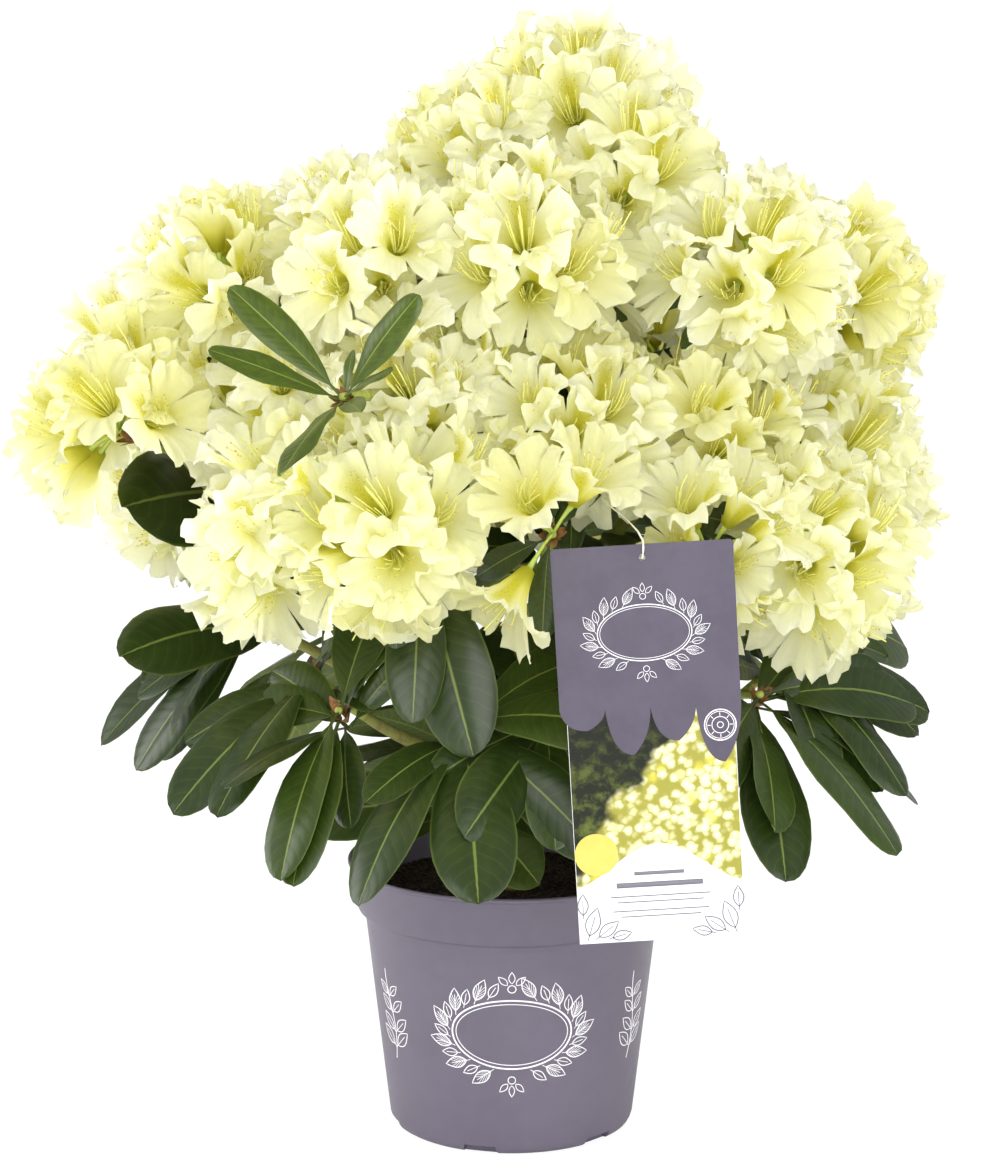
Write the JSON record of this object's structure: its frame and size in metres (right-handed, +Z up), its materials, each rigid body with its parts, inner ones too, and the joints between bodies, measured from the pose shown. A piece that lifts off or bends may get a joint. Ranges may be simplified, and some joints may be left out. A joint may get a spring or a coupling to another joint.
{
  "type": "potted rhododendron",
  "caption": "Flowering rhododendron shrub with pale yellow trusses over whorls of dark leaves, in a round nursery pot with a hang tag.",
  "frame": {"origin": "centre of the pot's flat underside", "axes": "+Z up, -Y towards the plant's front, where the hang tag is, +X to the right as seen from the front"},
  "size_m": [0.6051, 0.592, 0.7437],
  "materials": {
    "pot": "satin",
    "soil": "matte",
    "bark": "satin",
    "blossom": "matte",
    "foliage": "satin",
    "young_foliage": "satin",
    "tag": "satin",
    "tag_cord": "gloss"
  },
  "bodies": {
    "root": {"pot": "pot", "soil": "soil", "trunk": "bark", "bough_back": "bark", "bough_back_high": "bark", "bough_back_left": "bark", "bough_back_low": "bark", "bough_back_right": "bark", "bough_crown_top": "bark", "bough_front_high": "bark", "bough_front_left": "bark", "bough_front_right": "bark", "bough_left": "bark", "bough_left_front": "bark", "bough_low_back_left": "bark", "bough_low_back_right": "bark", "bough_low_front": "bark", "bough_low_left": "bark", "bough_low_right": "bark", "bough_right": "bark", "bough_right_front": "bark", "bough_right_high": "bark", "bough_side_left": "bark", "bough_side_right": "bark", "bough_sprig": "bark", "bough_upper_left": "bark", "blossom_back": "blossom", "blossom_back_high": "blossom", "blossom_back_left": "blossom", "blossom_back_low": "blossom", "blossom_back_right": "blossom", "blossom_crown_top": "blossom", "blossom_front_high": "blossom", "blossom_front_left": "blossom", "blossom_front_right": "blossom", "blossom_left": "blossom", "blossom_left_front": "blossom", "blossom_right": "blossom", "blossom_right_front": "blossom", "blossom_right_high": "blossom", "blossom_upper_left": "blossom", "foliage_foot_back": "foliage", "foliage_foot_front": "foliage", "foliage_foot_right": "foliage", "foliage_low_back_left": "foliage", "foliage_low_back_right": "foliage", "foliage_low_front": "foliage", "foliage_low_left": "foliage", "foliage_low_right": "foliage", "foliage_side_left": "foliage", "foliage_side_right": "foliage", "foliage_sprig": "young_foliage", "tag": "tag", "tag_cord": "tag_cord"}
  },
  "joints": []
}
